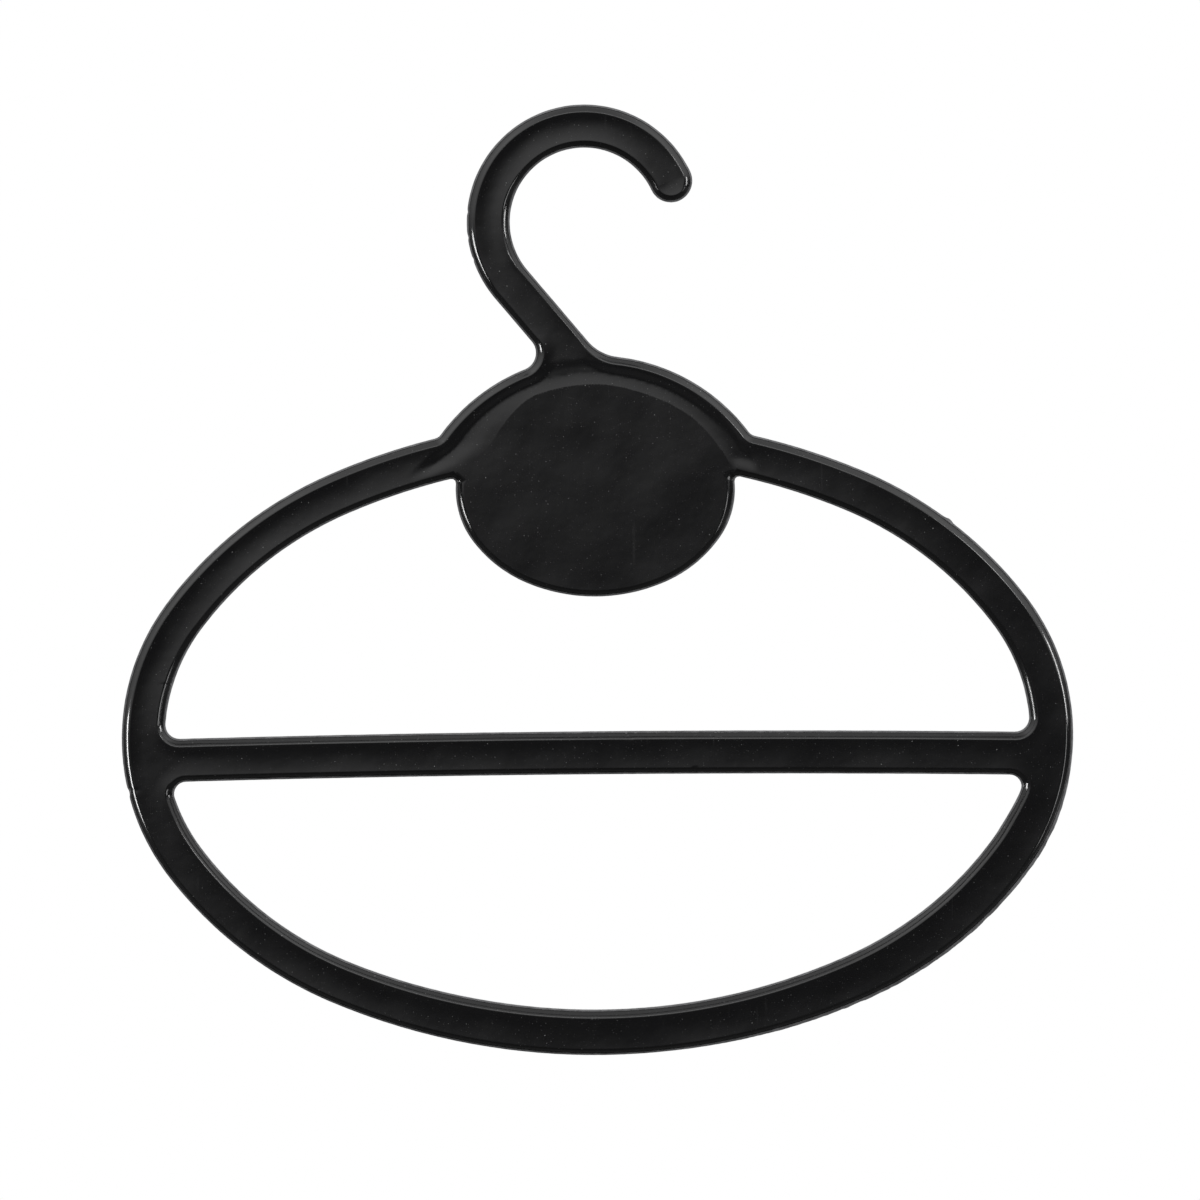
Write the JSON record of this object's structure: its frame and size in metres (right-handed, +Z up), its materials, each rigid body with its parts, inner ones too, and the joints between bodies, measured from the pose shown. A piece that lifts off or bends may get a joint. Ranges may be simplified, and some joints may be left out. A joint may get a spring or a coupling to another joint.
{
  "type": "scarf hanger",
  "caption": "Flat one-piece hanger: an oval ring with a crossbar for a scarf, a blank label plate under a rounded shoulder, and an open hook for a rail.",
  "frame": {"origin": "the rail's axis in the hook, at mid thickness", "axes": "+X right along the crossbar, front face towards -Y, +Z up"},
  "size_m": [0.2378, 0.0044, 0.2375],
  "materials": {
    "moulding": "gloss black, as moulded"
  },
  "bodies": {
    "root": {"hook": "moulding", "shoulder": "moulding", "label_plate": "moulding", "upper_left_arm": "moulding", "upper_right_arm": "moulding", "left_end": "moulding", "right_end": "moulding", "crossbar": "moulding", "lower_left_arm": "moulding", "lower_right_arm": "moulding", "lower_bow": "moulding"}
  },
  "joints": []
}
